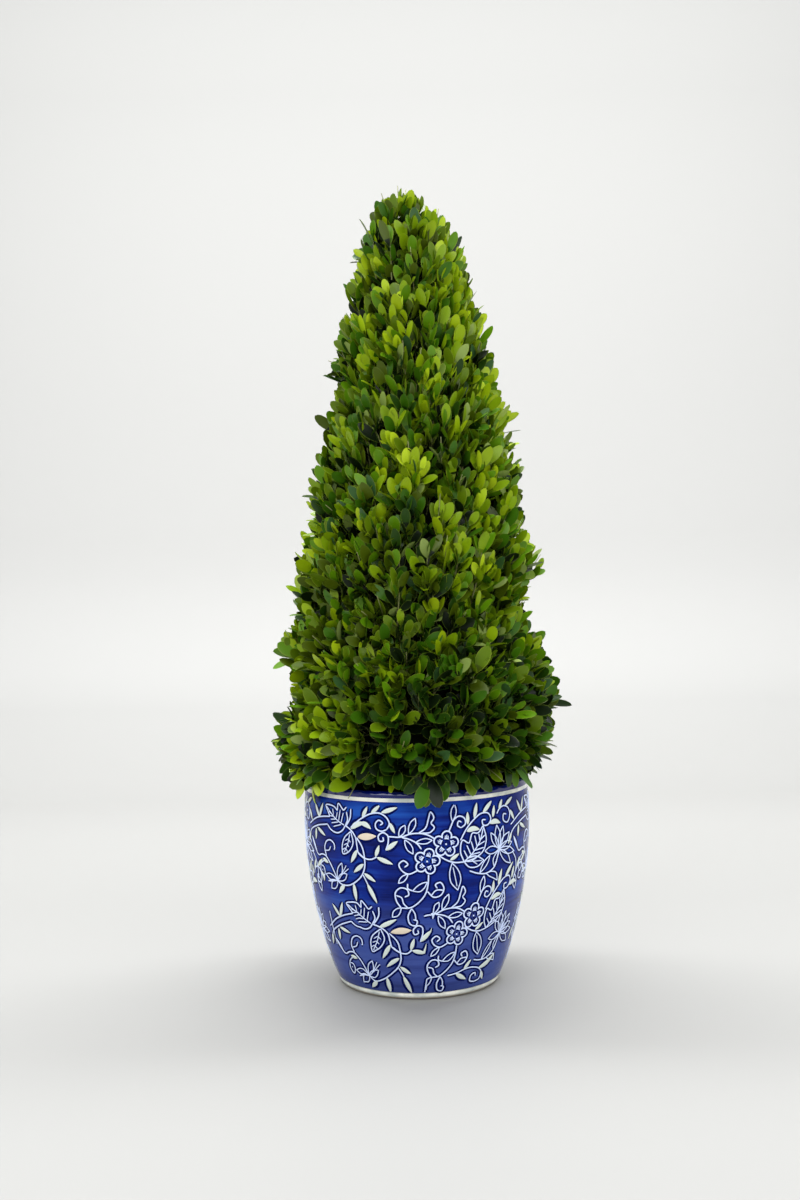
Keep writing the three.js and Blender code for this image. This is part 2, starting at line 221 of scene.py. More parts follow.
def pot_outline():
    """The pot's outline as (radius, height, material of the gap that follows)."""
    rows = [(0, 0, CLAY), (57.5, 0, CLAY), (59, 0.25, CLAY), (60.6, 0.5, CLAY), (61.3, 1.3, CLAY)]
    rows += [(61.6, 1.8, SLIP), (62.4, 2.4, SLIP), (62.8, 3.4, SLIP), (62.8, 4.5, SLIP)]
    rows += [(62.6, 5.0, SLIP), (wall_radius(5.6), 5.6, GLAZE)]
    for z in np.linspace(7.5, RIM_LINE[0] - 1.2, 48):
        rows.append((wall_radius(z), z, GLAZE))
    rows += [(wall_radius(RIM_LINE[0]), RIM_LINE[0], SLIP)]
    middle = sum(RIM_LINE) / 2
    rows += [(wall_radius(middle) + 0.25, middle, SLIP), (wall_radius(RIM_LINE[1]), RIM_LINE[1], LIP)]
    rows += [(wall_radius(153.2), 153.2, LIP)]
    for turn in np.linspace(0, math.pi, 13):
        radius = LIP_CENTRE[0] + LIP_RADIUS * math.cos(turn)
        rows.append((radius, LIP_CENTRE[1] + LIP_RADIUS * math.sin(turn), LIP))
    for z in np.linspace(149, BASE_THICKNESS + 6, 20):
        rows.append((wall_radius(z) - WALL_THICKNESS, z, GLAZE))
    corner = wall_radius(BASE_THICKNESS + 6) - WALL_THICKNESS
    rows += [(corner - 2, BASE_THICKNESS + 2, GLAZE), (corner - 7, BASE_THICKNESS, GLAZE)]
    rows += [(0, BASE_THICKNESS, GLAZE)]
    return rows


# Cobalt glaze, brushed on: a clear glossy coat over colour that pools dark and drags thin in level
# strokes a few millimetres wide. The strokes follow the wheel, so they stretch round the pot.
cobalt_glaze, tree, shader = new_material(
    "cobalt_glaze_brushed",
    {"Roughness": 0.1, "IOR": 1.5, "Specular IOR Level": 0.1},
)
place = add_node(tree, "ShaderNodeTexCoord").outputs["Object"]
level = add_node(tree, "ShaderNodeMapping", {"Scale": (6, 6, 110)}, {"Vector": place}).outputs[0]
stroke = {"Scale": 1, "Detail": 5, "Roughness": 0.6, "Distortion": 0.4}
strokes = add_node(tree, "ShaderNodeTexNoise", stroke, {"Vector": level}).outputs["Fac"]
cloud = {"Scale": 26, "Detail": 3, "Roughness": 0.5}
clouds = add_node(tree, "ShaderNodeTexNoise", cloud, {"Vector": place}).outputs["Fac"]
clouding = {"data_type": "FLOAT", "Factor": 0.32}
blend = add_node(tree, "ShaderNodeMix", clouding, {"A": strokes, "B": clouds}).outputs["Result"]
depth = ramped(tree, blend, [(0.36, "#020b48"), (0.5, "#0a247c"), (0.66, "#1d4ea8")])
# Low on the wall the colour pales along the strokes to a grey-blue: a painted reflection of the pale floor.
rise = add_node(tree, "ShaderNodeSeparateXYZ", {}, {"Vector": place}).outputs["Z"]
painted_reflection_band = {"From Min": 0.08, "From Max": 0.056, "To Max": 1.35}
painted_reflection = add_node(tree, "ShaderNodeMapRange", painted_reflection_band, {"Value": rise}).outputs["Result"]
painted_reflection_streaks = add_node(tree, "ShaderNodeMath", {"operation": "MULTIPLY"}, {0: painted_reflection, 1: strokes})
tinted = {"Fac": painted_reflection_streaks.outputs["Value"], "Color1": depth}
painted_reflection_tint = add_node(tree, "ShaderNodeMixRGB", {"Color2": linear("#435290")}, tinted)
tree.links.new(painted_reflection_tint.outputs["Color"], shader.inputs["Base Color"])

# The same glaze on the lip: a darker colour, and glossier.
lip_glaze = plain("cobalt_glaze_lip", "#05125a", {"Roughness": 0.07, "IOR": 1.5, "Specular IOR Level": 0.6})

# White slip under clear glaze, on the rim line and the foot band: cream where it is thin.
slip_glaze = grained(
    "white_slip_glazed",
    {"Roughness": 0.16, "IOR": 1.5, "Coat Weight": 0.5, "Coat Roughness": 0.05},
    "ShaderNodeTexNoise",
    {"Scale": 90, "Detail": 4},
    [(0.35, "#b9c0ba"), (0.62, "#e6e6da")],
)

# Bare stoneware on the foot ring, wiped clean of glaze before firing: dull and grey-buff.
bare_clay = grained(
    "stoneware_bare",
    {"Roughness": 0.85, "IOR": 1.5},
    "ShaderNodeTexNoise",
    {"Scale": 900, "Detail": 3},
    [(0, "#7d7468"), (1, "#b3a998")],
)

pot_rows = pot_outline()
pot_points = [(r, z) for r, z, _ in pot_rows]
pot_bands = [band for _, _, band in pot_rows[:-1]]
pot = turned("pot_body", pot_points, pot_bands, [cobalt_glaze, slip_glaze, bare_clay, lip_glaze])
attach(pot, "root")
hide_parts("pot")

# ---- Raised slip ornament ----
# Vines, blossoms and leaves trailed on the wall in white slip before glazing, as on much traditional
# blue-and-white ware. One drawing goes three times round the pot, and again below it, tilted and
# shifted. Places in it are (mm along the belly's round from the front, height in mm).
LINE_WIDTH = 1.3
CROWN = 0.3
POOL_REACH = 1.5
SAMPLE_STEP = 0.8
WHITE, CREAM, BLUSH, POOL = 0, 1, 2, 3
drawing = []


def line(*points, width=LINE_WIDTH, part="both"):
    """One even line of slip through the points."""
    drawing.append((points, width, "line", WHITE, part))


def full_leaf(base, tip, width=3.3, bow=0.0, tone=CREAM, part="both"):
    """A leaf filled with slip, pointed at both ends. A bow bends it to its left."""
    base, tip = np.array(base, float), np.array(tip, float)
    across = np.array([base[1] - tip[1], tip[0] - base[0]])
    drawing.append(((base, (base + tip) / 2 + across * bow, tip), width, "leaf", tone, part))


def open_leaf(base, tip, width=4.4, bow=0.0, rib=False, part="both"):
    """A leaf in outline: two lines that part at its base and meet again at its tip."""
    base, tip = np.array(base, float), np.array(tip, float)
    along = tip - base
    across = np.array([-along[1], along[0]])
    half = width / 2 / np.linalg.norm(along)
    for side in (-half, half):
        low = base + 0.28 * along + across * (0.8 * side + 0.6 * bow)
        high = base + 0.64 * along + across * (side + bow)
        line(base, low, high, tip, width=1.05, part=part)
    if rib:
        line(base + 0.15 * along, base + 0.5 * along + across * bow, base + 0.85 * along, width=0.9)


def dot(centre, width=1.9):
    line((centre[0] - width / 4, centre[1]), (centre[0] + width / 4, centre[1]), width=width)


def ringed(centre, radius, angles):
    """Points round a centre at angles in degrees, measured from straight up."""
    turns = np.radians(angles)
    return np.column_stack([centre[0] + radius * np.sin(turns), centre[1] + radius * np.cos(turns)])


def plum_blossom(centre, turn):
    """Five round petals, each with a pale foot and three hairs, round a dark star and a dot."""
    for k in range(5):
        heading = turn + 72 * k
        petal = ringed(centre, 5.8, [heading])[0]
        line(*ringed(petal, 3.6, heading + np.linspace(-118, 118, 9)), width=1.4)
        line(*ringed(centre, 4.1, heading + np.array([-25, 0, 25])), width=1.2)
        for side in (-1, 0, 1):
            foot = ringed(centre, 4.1, [heading + 16 * side])[0]
            line(foot, ringed(petal, 1.1, [heading + 70 * side])[0], width=0.9)
    dot(centre, width=2.4)


# The bud: two toothed lobes with a rib, veins and bands, over a round base and a long sepal.
line((-73, 136), (-75, 139), (-78, 144), (-73, 144.5), (-68, 143.5), (-65, 141), width=1.3)
line((-65, 141), (-64, 146.5), (-61, 144), (-59, 142), (-56, 144.5), width=1.3)
line((-76, 130), (-72, 126.5), (-64, 125), (-59.5, 127.5), (-57, 131))
line((-57, 131), (-55, 135), (-56, 141), width=1.3)
line((-56, 131), (-52.5, 137), (-52, 143.5), width=1.3)
line((-77, 143), (-71, 138), (-64, 133.5), (-58, 131), width=1.1)
for rib_x, rib_z, reach_x, reach_z in (
    (-71, 138, -74, 139.5),
    (-69, 136.5, -73, 136.5),
    (-66.5, 134.7, -72, 134),
    (-64, 132.8, -71, 131.5),
    (-61, 131.3, -69, 129),
    (-69, 137.5, -70, 142),
    (-66, 135.5, -65, 140),
    (-63.5, 134, -62, 142),
    (-61, 132.8, -59, 140),
):
    line((rib_x, rib_z), (reach_x, reach_z), width=1.0)

# Two stems that run back from the bud, with a pair of leaves over them and three under.
line((-73, 136), (-82, 135), (-91, 133), (-104, 127))
line((-76, 130), (-91, 127), (-102, 122), (-106, 116))
full_leaf((-87, 134), (-94, 144))
full_leaf((-87, 134), (-82, 145))
full_leaf((-90, 126), (-79, 121))
full_leaf((-92, 125), (-93, 116.5))
full_leaf((-103, 121), (-107, 113))

# The main vine, from the bud down to the small lotus, with a second strand and its leaves.
line((-57, 131), (-52, 128), (-48, 123), (-47, 117), (-46, 112), (-41, 108))
line(
    (-47, 123), (-42.5, 116), (-41, 108), (-41, 103), (-43, 97),
    (-50, 90), (-58, 86.5), (-65, 87), (-68, 89),
)
full_leaf((-46, 123.5), (-31, 125), 6.2, tone=BLUSH)
full_leaf((-47, 114), (-53, 104), 3.8)
full_leaf((-42, 104), (-51, 97), 3.8)
full_leaf((-42, 97), (-33, 91.5), 3.6)
full_leaf((-61, 87), (-68, 79.5), 4.0)
full_leaf((-52, 88.5), (-51, 75.5), 3.8)
line((-43, 96), (-39.5, 89), width=1.2)
full_leaf((-40, 89.5), (-33, 75.5), 3.8)
line((-46, 112), (-40, 108), (-35, 108), (-31, 110))
full_leaf((-32, 110), (-29, 118.5))
full_leaf((-31, 109.5), (-19, 105), 4.0)

# The arching vine over it, which the upper round has alone: the lower has one leaf in its place.
line((-52, 130), (-43, 137), (-35, 141), (-28, 141.5), (-23, 138.5), (-21, 134), (-23, 130), part="upper")
line(
    (-23, 130), (-27, 128.7), (-31, 130.5), (-31.5, 134), (-29, 136.5),
    (-26, 134.5), (-28, 133), part="upper",
)
full_leaf((-42, 138), (-38, 146), part="upper")
full_leaf((-35, 141), (-28, 147.5), part="upper")
full_leaf((-27, 142), (-15, 146), 3.8, part="upper")
full_leaf((-21, 135), (-17, 127.5), 3.4, part="upper")
full_leaf((-52, 129), (-40, 134), 5.0, bow=0.1, part="upper")
full_leaf((-44, 134), (-35, 130), 4.4, bow=0.1, part="upper")
full_leaf((-53, 128), (-42, 133), 4.0, part="lower")

# A leaf that hangs from the main vine, drawn in outline with a rib and side veins.
line((-52, 127), (-58, 122), (-60.5, 116), (-60, 110), (-54.5, 112), (-50.5, 118), (-52, 127), width=1.2)
line((-53, 125), (-55.5, 117), (-59, 111), width=1.0)
for share in (0.25, 0.5, 0.75):
    foot = np.array((-53, 125)) + share * np.array((-6, -14))
    line(foot, foot + (-2.8, -1.6), width=0.9)
    line(foot, foot + (1.9, -2.6), width=0.9)

# The small lotus: four open petals and two stamens, with a curl and a looped tendril beside it.
for tip, width in (((-62, 103), 4.6), ((-57.5, 95), 5.0), ((-82, 92), 4.4), ((-76.5, 82), 5.2)):
    open_leaf((-68, 89), tip, width)
full_leaf((-70, 89), (-80, 87), 2.4, tone=WHITE)
for tip in ((-58, 101), (-56, 99)):
    line((-64, 93), tip, width=0.9)
    dot(tip, width=1.5)
line((-79, 106), (-80.5, 112), (-78, 117), (-73, 118.5), (-69, 116), (-68.5, 112.5))
line((-79.5, 110), (-75, 111), (-73, 114), width=1.1)
dot((-68.8, 112.3), width=2.2)
full_leaf((-100, 118), (-92, 106), 2.8, tone=WHITE)
line((-93, 107), (-90, 105.3), (-85, 106.5), (-80, 106), (-75, 101), (-71, 95), (-68, 89))
full_leaf((-84, 103.5), (-77, 101), 3.6)
line((-82, 102.5), (-87.5, 99), (-89, 94), (-86, 89.5), (-83, 93), (-84, 97), (-87, 98), width=1.2)
dot((-86, 94.5))

# The branch between: a curl at its start, leaves in outline, and its two ends in the blossoms.
line(
    (-24, 115), (-22, 121), (-22.5, 126), (-26, 127.7), (-29.5, 125),
    (-28.5, 121.5), (-25.5, 122), (-26, 124.5),
)
full_leaf((-24, 115), (-15, 122), 4.0)
line((-22, 125), (-12, 125), (-6, 127), (0, 127.5), (7, 126), (12, 123), part="upper")
line((-21, 134), (-16, 133.8), (-12.8, 125), (-6, 127), (0, 127.5), (7, 126), (12, 123), part="lower")
line((-12, 124.5), (-6, 123), (-1, 120), (2, 116))
open_leaf((-14, 125), (-9.5, 133.5), 3.8)
open_leaf((-7, 127), (-2, 138.5), 4.0)
open_leaf((-10, 123), (-4, 112.5), 4.0)
open_leaf((-2, 121), (10, 122.3), 3.6)
line((0, 127.5), (5, 131), (7.5, 138), (9, 142.5), (11.3, 138.5), (9, 134.5), width=1.25)
line((9, 134.5), (11.5, 131.5), (9, 128.3), (2, 127.5), width=1.25)
plum_blossom((20, 119), 6)
plum_blossom((6, 107), 14)
line((-1, 100.5), (-8, 98), (-13, 101), (-14.5, 105), (-11, 107.7), (-8, 105), (-10.5, 103))
open_leaf((-8, 98), (-15.5, 91), 3.4)

# Over the blossoms: a curl with a tall leaf, and two scrolling vines with leaves on their backs.
line((22, 127.5), (24, 132), (26.5, 136.5), (30.5, 138.5), (34.5, 136.5), (35, 132.5), (31.5, 130))
line((31.5, 130), (28.8, 132), (30, 135), (32, 134))
open_leaf((25, 135), (27, 147.3), 3.8)
line(
    (31, 121), (36, 129), (42, 135), (49, 139), (55.5, 138),
    (57.3, 134), (54, 130), (50, 130.5), (49.5, 134), (52.5, 134),
)
full_leaf((37, 132), (37, 141))
full_leaf((42.5, 136), (45, 147), 3.6)
full_leaf((50, 139), (59, 147.3), 3.8)
full_leaf((59.5, 135), (61, 143.5), 3.4)
full_leaf((36, 127), (47, 127.5), 4.6, bow=0.12)
full_leaf((56, 131), (67, 130), 4.6, bow=0.12)
line(
    (63.5, 137), (66, 140), (71, 142), (76.5, 140), (78.5, 135),
    (75, 129.5), (70.5, 131.5), (71, 136), (74, 135.5),
)
full_leaf((66, 140), (70, 147.3))
full_leaf((73, 142), (83, 147.3))
full_leaf((79, 138), (84.5, 130))

# The large leaf, toothed at its left, with its sepal, and the stem that carries both.
line((34, 105), (31, 113), (33, 121), (37.5, 118.5), (41, 125.5), (45, 125), (50, 130), width=1.25)
line((50, 130), (52.7, 119), (50, 111.5), (43, 107), (34, 105), width=1.25)
line((34, 105), (41, 111), (47, 119), (50, 128), width=1.15)
for x, z, left_x, left_z, right_x, right_z in (
    (37, 107.5, 33.7, 113.5, 43.5, 108.7),
    (39.5, 109.7, 36, 117, 47.5, 110.8),
    (42, 112.5, 39.5, 119.5, 50.5, 114),
    (44.5, 115.7, 42.5, 123.5, 51.5, 118.5),
    (47, 119.5, 46, 124.5, 51.5, 123),
):
    line((x, z), (left_x, left_z), width=1.1)
    line((x, z), (right_x, right_z), width=1.1)
line((34, 105), (38, 108), (44, 108.3), (51, 104.5), width=1.2, part="upper")
line((51, 104.5), (45, 100.5), (38, 101), (34, 105), width=1.2, part="upper")
line((36, 105), (49, 104.5), width=0.9, part="upper")
line((40, 105), (44, 107), width=0.9, part="upper")
line((41, 104.8), (45, 102.2), width=0.9, part="upper")
line((13, 112), (16, 110), (21, 107), (26, 105.3), (34, 105))
full_leaf((23, 107), (30, 111.5), 3.2)
open_leaf((24.5, 105), (29.5, 84.5), 8.0, rib=True)

# The lotus in flower, and the leaves that flow from under it. Below it sits closer in.
for (x, z), part in (((65.5, 111), "upper"), ((53, 94), "lower")):
    for side, up, width in (
        (-8.5, 13, 4.4),
        (-2.5, 18, 5.4),
        (4.5, 16.5, 4.6),
        (12, 11, 5.4),
        (15.5, 3, 5.8),
        (19.5, -4.5, 5.0),
        (15, -13, 5.4),
        (-14, 0, 5.4),
    ):
        open_leaf((x, z), (x + side, z + up), width, part=part)
    open_leaf((x, z - 1), (x - 4.5, z - 12.5), 3.6, bow=-0.1, part=part)
    line(
        (x - 27, z - 13), (x - 20, z - 15.5), (x - 12, z - 16.5),
        (x - 5, z - 13.5), (x, z - 1), width=1.3, part=part,
    )
    open_leaf((x - 18, z - 15.5), (x - 9, z - 3.5), 3.4, part=part)
    open_leaf((x - 12, z - 16.5), (x, z - 23.5), 4.6, bow=0.15, part=part)
line((82, 107), (88, 100), (89.5, 92), (87.5, 86), width=1.2)
open_leaf((88, 89), (91, 77), 5.0)

# A last scrolling vine along the foot, which the lower round has alone.
line((1, 72), (9, 73), (17, 75), (26, 74.5), (34, 71), (38.5, 66), (38, 60.5), (32, 60), part="lower")
line((32, 60), (26, 63), (26.5, 67.5), (31, 68), (32, 65), part="lower")
full_leaf((9, 73), (21, 65.5), 4.2, part="lower")
full_leaf((17, 75), (23, 82), part="lower")
full_leaf((34, 71), (52, 77), 5.0, bow=-0.1, part="lower")
full_leaf((38, 67), (43, 58), part="lower")

# The tail under the blossoms, with its hooked and curled leaves and a hanging loop.
line((7, 97.5), (6.5, 90), (5, 84), (-0.5, 77), (-7, 73), (-14, 72.7))
open_leaf((6, 92), (-5, 85.5), 4.4, bow=0.08)
line((-5, 85.5), (-8.5, 87.5), (-8.5, 91))
line((6, 85), (11, 80.5), (16.5, 82), (18.5, 87), (15.5, 91.3), (12, 89.5), (13.5, 87))
line((9, 82), (12.5, 85.5), (18, 85.5), width=1.2)
line((-14, 72.7), (-17.5, 78), (-18, 84), (-14, 87.7), (-9, 86.5), (-8, 82.5), (-11, 81))
line((-17.5, 82), (-13.5, 80.5), (-12, 76), (-9, 73), width=1.2)
open_leaf((-14, 73), (-21.5, 65.5), 4.4)
line((-6, 72.5), (-9, 66), (-7.5, 60.5), (-3, 59.5), (-2, 63), (-5, 64))
line((-6, 72.5), (-3.5, 68), (-3, 63.5), width=1.1)


def upper_round(points, turn):
    """The drawing on the upper part of the wall, a third of the way round for each turn."""
    return points[:, 0] / BELLY_RADIUS + turn * 2 * math.pi / 3, points[:, 1]


# The lower round's hand: where the drawing's places fall, in degrees, and how far they stray in
# height from an even tilt, in mm.
LOWER_DROP, LOWER_TILT = 58.5, 0.19
LOWER_ANGLES = [(-110, -63), (-57, -25.5), (-41, -11), (82, 70)]
LOWER_STRAYS = [(-68, 2), (-57, -2.5), (-41, -2.5), (-30, -5), (-15.5, -5), (-13, 4), (5, 2)]
LOWER_STRAYS += [(20, -0.5), (35, -1.5)]
TILE_START, TILE_END = -100, 82


def lower_round(points, turn):
    """The same lower down, tilted. The two turns at the back share what the front one leaves."""
    start, end = np.radians(np.interp((TILE_START, TILE_END), *zip(*LOWER_ANGLES)))
    angles = np.radians(np.interp(points[:, 0], *zip(*LOWER_ANGLES)))
    if turn > 0:
        span = (2 * math.pi - (end - start)) / 2
        angles = end + (turn - 1) * span + (angles - start) * span / (end - start)
    heights = points[:, 1] - LOWER_DROP + LOWER_TILT * points[:, 0]
    below = np.clip((114 - points[:, 1]) / 4, 0, 1)
    heights += np.interp(points[:, 0] + 5.5 * below, *zip(*LOWER_STRAYS))
    right = np.clip((points[:, 0] + 21) / 2.5, 0, 1)
    return angles, heights + 0.08 * right * np.clip(115 - points[:, 1], 0, None)


def smooth_curve(points, step):
    """Even samples, and their distances, on a smooth curve through the points."""
    points = np.array(points, float)
    knots = np.concatenate([[0], np.cumsum(np.linalg.norm(np.diff(points, axis=0), axis=1))])
    slopes = np.gradient(points, knots, axis=0)
    travelled = np.linspace(0, knots[-1], max(4, math.ceil(knots[-1] / step) + 1))
    i = np.clip(np.searchsorted(knots, travelled, side="right") - 1, 0, len(knots) - 2)
    gap = (knots[i + 1] - knots[i])[:, None]
    u = (travelled - knots[i])[:, None] / gap
    start = (2 * u**3 - 3 * u**2 + 1) * points[i] + (u**3 - 2 * u**2 + u) * gap * slopes[i]
    end = (3 * u**2 - 2 * u**3) * points[i + 1] + (u**3 - u**2) * gap * slopes[i + 1]
    return start + end, travelled


def half_widths(travelled, width, shape):
    """Half the width along a stroke: round-ended on a line, pointed on a leaf."""
    if shape == "leaf":
        share = travelled / travelled[-1]
        return 0.1 + width / 2 * np.sin(math.pi * share**0.85) ** 0.8
    from_end = np.minimum(travelled, travelled[-1] - travelled)
    fullness = np.clip(from_end / (width / 2), 0.12, 1)
    return width / 2 * np.sqrt(1 - (1 - fullness) ** 2)


def raised_strip(angles, heights, halves, section):
    """The points of a strip that lies on the wall. The section gives (across, height off the wall)."""
    radius = wall_radius(heights)
    slope = (wall_radius(heights + 0.5) - wall_radius(heights - 0.5))[:, None]
    outward = np.stack([np.sin(angles), -np.cos(angles), np.zeros_like(angles)], 1)
    centre = outward * radius[:, None] + np.stack([angles * 0, angles * 0, heights], 1)
    normal = outward - slope * np.array([0, 0, 1.0])
    normal /= np.linalg.norm(normal, axis=1, keepdims=True)
    along = np.gradient(centre, axis=0)
    side = np.cross(normal, along)
    side /= np.linalg.norm(side, axis=1, keepdims=True)
    rows = [centre + side * (halves * across)[:, None] + normal * off for across, off in section]
    return np.stack(rows, 1)


LINE_SECTION = [(-1, -0.1), (-0.6, 0.7 * CROWN), (0, CROWN), (0.6, 0.7 * CROWN), (1, -0.1)]
POOL_SECTION = [(-1, -0.04), (-0.5, 0.07), (0.5, 0.07), (1, -0.04)]
ORNAMENT_FOOT, ORNAMENT_TOP = 6.2, 147.2

# The slip where it stands proud: white with a blue cast where the glaze lies over it, cream where
# the leaves are filled in, and one leaf blushed by iron in the clay.
slip_tones = {"line_white": "#cad9fa", "leaf_cream": "#cdd8d2", "leaf_blush": "#d8cab6"}
slip_look = {"Roughness": 0.25, "IOR": 1.5}
ornament_materials = [plain(f"slip_{name}", colour, slip_look) for name, colour in slip_tones.items()]
# Glaze that has run off the slip and pooled at its foot, nearly black-blue.
pool_look = {"Roughness": 0.1, "IOR": 1.5, "Specular IOR Level": 0.04}
ornament_materials.append(plain("cobalt_glaze_pooled", "#010b48", pool_look))

for round_name, placed in (("upper", upper_round), ("lower", lower_round)):
    vertices, faces, marks = [], [], []
    first = 0
    for points, width, shape, tone, part in drawing:
        if part not in ("both", round_name):
            continue
        samples, travelled = smooth_curve(points, SAMPLE_STEP)
        for turn in range(3):
            angles, heights = placed(samples, turn)
            inside = (heights > ORNAMENT_FOOT) & (heights < ORNAMENT_TOP)
            if np.count_nonzero(inside) < 3:
                continue
            halves = half_widths(travelled, width, shape)[inside]
            for section, widened, mark in ((LINE_SECTION, 0, tone), (POOL_SECTION, POOL_REACH, POOL)):
                strip = raised_strip(angles[inside], heights[inside], halves + widened, section)
                rows, columns = strip.shape[:2]
                grid = first + np.arange(rows * columns).reshape(rows, columns)
                corners = [grid[:-1, :-1], grid[:-1, 1:], grid[1:, 1:], grid[1:, :-1]]
                quads = np.stack(corners, -1).reshape(-1, 4)
                vertices.append(strip.reshape(-1, 3))
                faces.extend(quads.tolist())
                marks.extend([mark] * len(quads))
                first += rows * columns
    vertices = np.concatenate(vertices)
    ornament = mesh_piece(f"pot_ornament_{round_name}", vertices, faces, ornament_materials, marks)
    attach(ornament, "root")

# ---- Potting mix ----
# Dark bark and peat that fill the pot to just under its lip, raked uneven round the stem.
_, mix_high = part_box("potting_mix")
MIX_TOP = mix_high.z / MM

potting_mix_material = grained(
    "bark_and_peat_mix",
    {"Roughness": 0.95, "IOR": 1.4},
    "ShaderNodeTexVoronoi",
    {"Scale": 320},
    [(0, "#3d2e20"), (1, "#120d09")],
)

MIX_RINGS = 26
MIX_SURFACE = MIX_TOP - 2.5
LUMP_HEIGHT = 0.9
mix_outline = [(0, BASE_THICKNESS + 0.5)]
for z in np.linspace(BASE_THICKNESS + 0.5, MIX_TOP - 3, 12):
    mix_outline.append((wall_radius(z) - WALL_THICKNESS - 1, z))
mix_edge = mix_outline[-1][0]
mix_outline += [(mix_edge * (1 - k / MIX_RINGS), MIX_SURFACE) for k in range(1, MIX_RINGS)]
mix_outline.append((0, MIX_SURFACE))
mix_bands = [0] * (len(mix_outline) - 1)
potting_mix = turned("potting_mix_fill", mix_outline, mix_bands, [potting_mix_material], sides=120)
for vertex in potting_mix.data.vertices:
    if vertex.co.z > (MIX_TOP - 2.8) * MM:
        x, y = vertex.co.x, vertex.co.y
        lumps = math.sin(x * 420) * math.cos(y * 380) + math.sin(x * 1100 + y * 900)
        vertex.co.z += LUMP_HEIGHT * MM * lumps
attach(potting_mix, "root")
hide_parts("potting_mix")

# ---- Stem ----
# A short woody stem with a root flare. The bark is grey-brown and split into shallow ridges.
stem_low, stem_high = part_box("stem")
STEM_FOOT, STEM_TOP = stem_low.z / MM, stem_high.z / MM
FLARE_RADIUS = stem_high.x / MM
FLARE_HEIGHT = 9
STEM_RADIUS = 8.5
STEM_TIP_RADIUS = 5.5

bark = grained(
    "boxwood_bark",
    {"Roughness": 0.9, "IOR": 1.45},
    "ShaderNodeTexNoise",
    {"Scale": 1, "Detail": 4},
    [(0.38, "#3a2f24"), (0.62, "#8b7b66")],
    stretch=(700, 700, 90),
)

STEM_SIDES = 60
STEM_ROWS = 80
stem_vertices = []
for row in range(STEM_ROWS + 1):
    share = row / STEM_ROWS
    z = STEM_FOOT + share * (STEM_TOP - STEM_FOOT)
    flare = (FLARE_RADIUS - STEM_RADIUS) * math.exp(-(z - STEM_FOOT) / (FLARE_HEIGHT / 2.5))
    for k in range(STEM_SIDES):
        angle = 2 * math.pi * k / STEM_SIDES
        ridge = 0.35 * math.sin(11 * angle + 3 * math.sin(share * 9))
        ridge += 0.25 * math.sin(23 * angle - share * 31)
        lobes = flare * (0.75 + 0.2 * math.sin(5 * angle))
        radius = STEM_RADIUS + (STEM_TIP_RADIUS - STEM_RADIUS) * share + lobes + ridge - 0.6
        stem_vertices.append((radius * math.sin(angle), -radius * math.cos(angle), z))
stem_faces = ring_faces(STEM_ROWS, STEM_SIDES)
stem_faces.append(tuple(reversed(range(STEM_SIDES))))
stem_faces.append(tuple(STEM_ROWS * STEM_SIDES + k for k in range(STEM_SIDES)))
stem = mesh_piece("stem_bark", stem_vertices, stem_faces, [bark])
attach(stem, "root")
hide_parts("stem")

# ---- Foliage: how the sprigs grow ----
# Clipped boxwood. Sprigs stand out of a dark heart in courses, hang over the pot at the hem and
# rise steeply from the middle on. Most fork once, and each carries opposite leaves in pairs.
_, crown_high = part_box("foliage_crown")
skirt_low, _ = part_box("foliage_skirt")
TOP = crown_high.z / MM
SKIRT_RADIUS = 108
SKIRT_HEIGHT = 185
HEM_HEIGHT = 150
OGIVE = 0.47
UNDERCUT = 9
HEART_DEPTH = 34
COURSE_STEP = 13.2
RAGGED = 8
SEED = 31
UP = np.array([0, 0, 1.0])
# How far the shears left the outline proud of a true ogive, as (height, mm).
SWELLS = [(146, -8), (160, -1), (177, 6), (209, 5), (240, 1), (256, 2), (287, -3), (303, -5), (318, 3)]
SWELLS += [(334, 3), (365, -2), (425, 2), (460, 0), (500, -3), (540, -3), (570, 1), (586, 2), (601, 3)]
SWELLS += [(615, 1)]
# The same for the left and the right alone, where branches have filled out or thinned.
LEFT_SWELLS = [(209, 0), (224, -4), (240, -11), (254, -8), (271, 6), (287, 5), (318, 1), (366, -3)]
LEFT_SWELLS += [(428, -4), (460, -3), (491, 1), (507, 5), (554, 4), (585, 2), (601, 5)]
RIGHT_SWELLS = [(146, -7), (161, -4), (193, -5), (209, -1), (224, 8), (240, 7), (256, 3), (271, -1)]
RIGHT_SWELLS += [(287, -5), (303, -7), (318, -10), (334, 0), (412, 0), (428, -4), (444, 0)]
# How far the crown's middle strays to the right, as (height, mm).
LEAN = [(150, 0), (540, 5), (585, 3), (615, -2)]


def chance(number):
    """The seeded rule behind every irregularity: 0 to 1, from a number or an array of them."""
    x = np.sin(np.asarray(number, float) * 12.9898 + SEED) * 43758.5453
    return x - np.floor(x)


def swing(number, reach):
    return (2 * chance(number) - 1) * reach


def ogive_radius(height):
    """Radius of the clipped outline, which rounds over to the top and draws in below the skirt."""
    left = np.clip((TOP - height) / (TOP - SKIRT_HEIGHT), 0, 1)
    drop = np.clip((SKIRT_HEIGHT - height) / (SKIRT_HEIGHT - HEM_HEIGHT), 0, 2)
    return np.where(height >= SKIRT_HEIGHT, SKIRT_RADIUS * left**OGIVE, SKIRT_RADIUS - UNDERCUT * drop**1.5)


def outline_radius(height, azimuth):
    """The same with its swells and the shallow lumps that hand shears leave."""
    swell = np.interp(height, *zip(*SWELLS))
    swell += np.interp(height, *zip(*LEFT_SWELLS)) * np.maximum(0, -np.sin(azimuth)) ** 2
    swell += np.interp(height, *zip(*RIGHT_SWELLS)) * np.maximum(0, np.sin(azimuth)) ** 2
    lumps = np.sin(3 * azimuth + height * 0.045) + np.sin(5 * azimuth - height * 0.08 + 1)
    return ogive_radius(height) + swell + 1.3 * lumps * np.clip((TOP - height) / 80, 0, 1)


